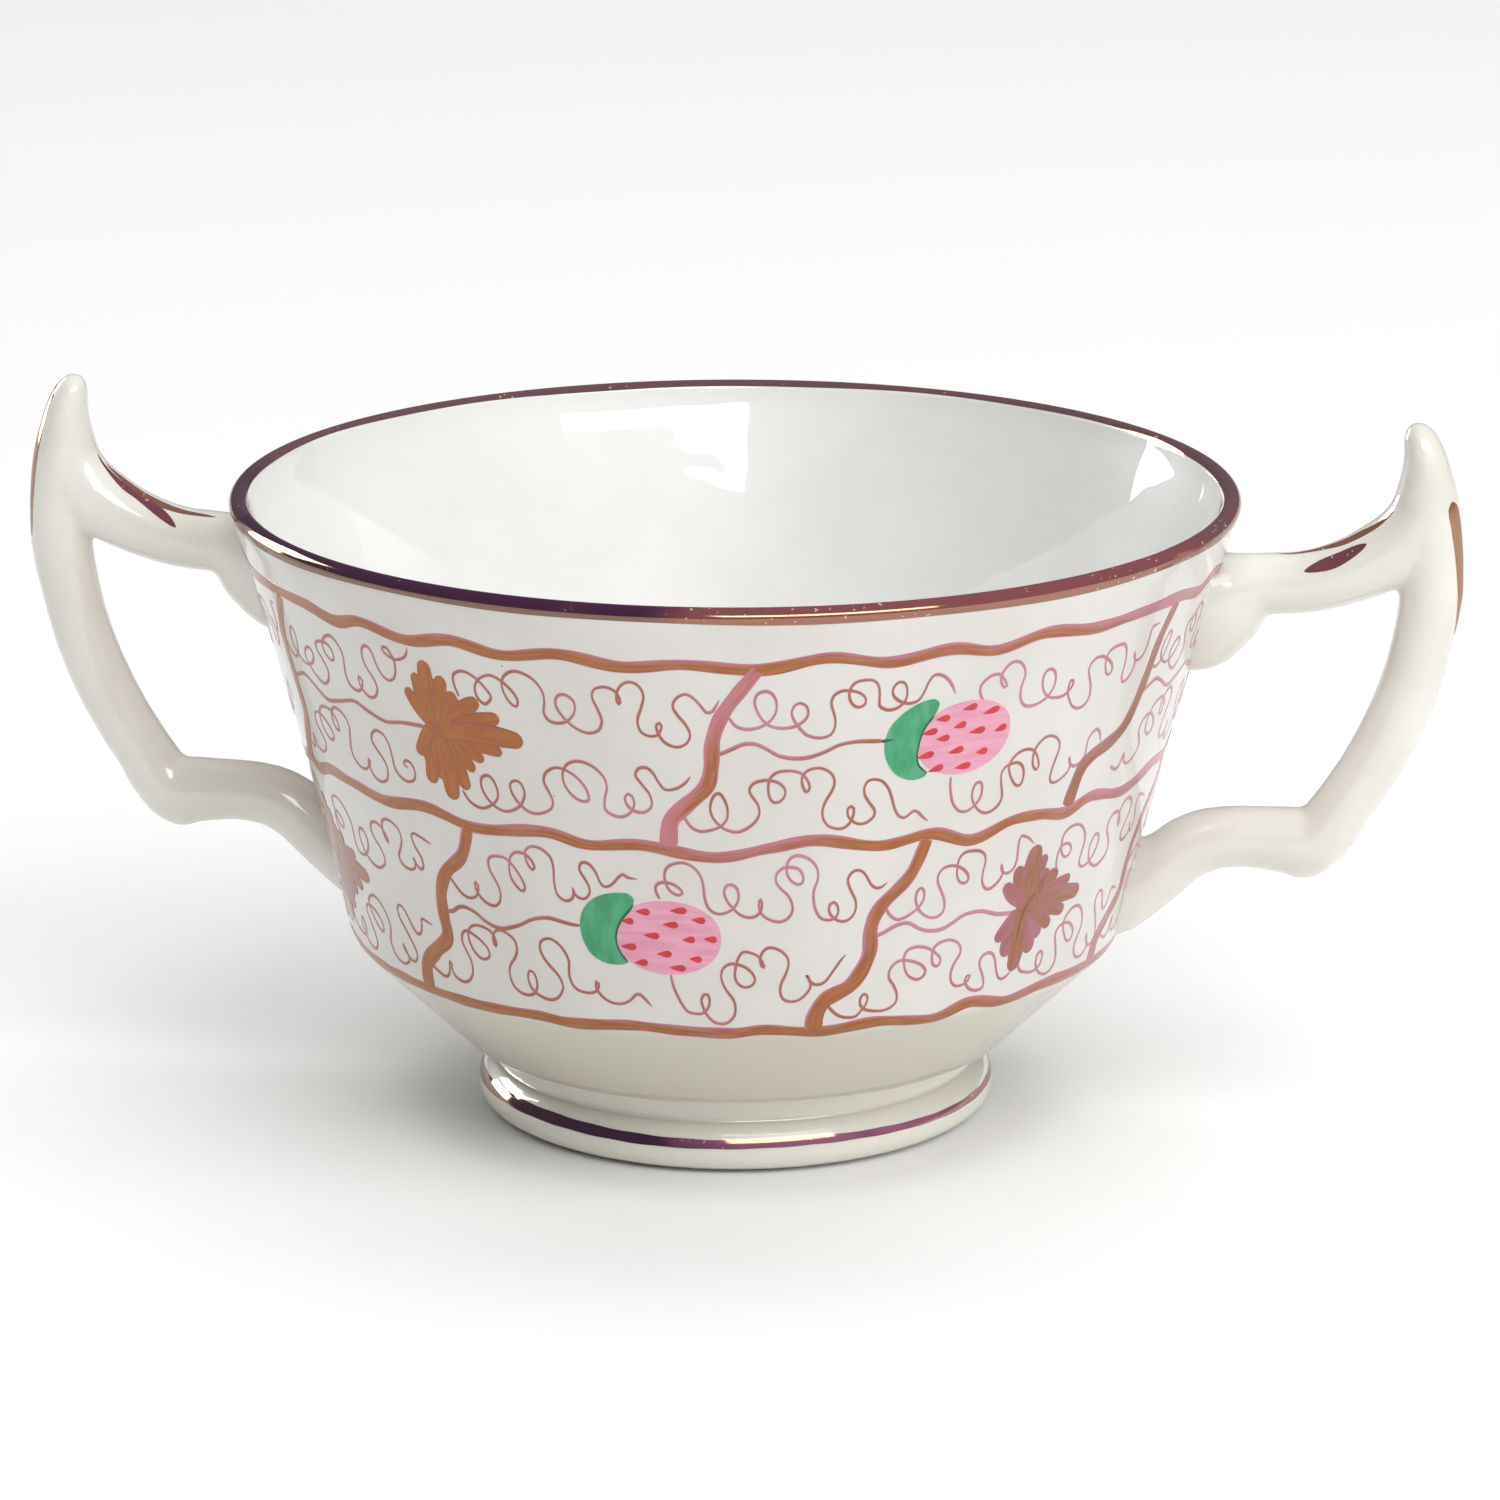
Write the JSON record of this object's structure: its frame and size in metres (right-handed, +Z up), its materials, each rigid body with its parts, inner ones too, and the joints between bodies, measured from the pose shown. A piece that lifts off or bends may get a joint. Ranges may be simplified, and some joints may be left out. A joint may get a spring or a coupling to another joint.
{
  "type": "two-handled bouillon cup",
  "caption": "Glazed earthenware bouillon cup: a flared bowl on a foot ring, with two angular horned handles to lift and drink from.",
  "frame": {"origin": "on the bowl's axis, on the plane that the foot ring stands on", "axes": "+Z up along the bowl's axis; +X towards the right handle, so the two handles lie along X"},
  "size_m": [0.1514, 0.105, 0.0758],
  "materials": {
    "bowl_glaze": "clear lead glaze over off-white earthenware, painted with copper-pink lustre lines, pink berries and green calyxes",
    "foot_glaze": "clear lead glaze with one purple-pink lustre line round the swell",
    "handle_glaze": "clear lead glaze with short lustre strokes on the horn and the top of the arm"
  },
  "bodies": {
    "root": {"bowl": "bowl_glaze", "foot_ring": "foot_glaze", "left_handle": "handle_glaze", "right_handle": "handle_glaze"}
  },
  "joints": []
}
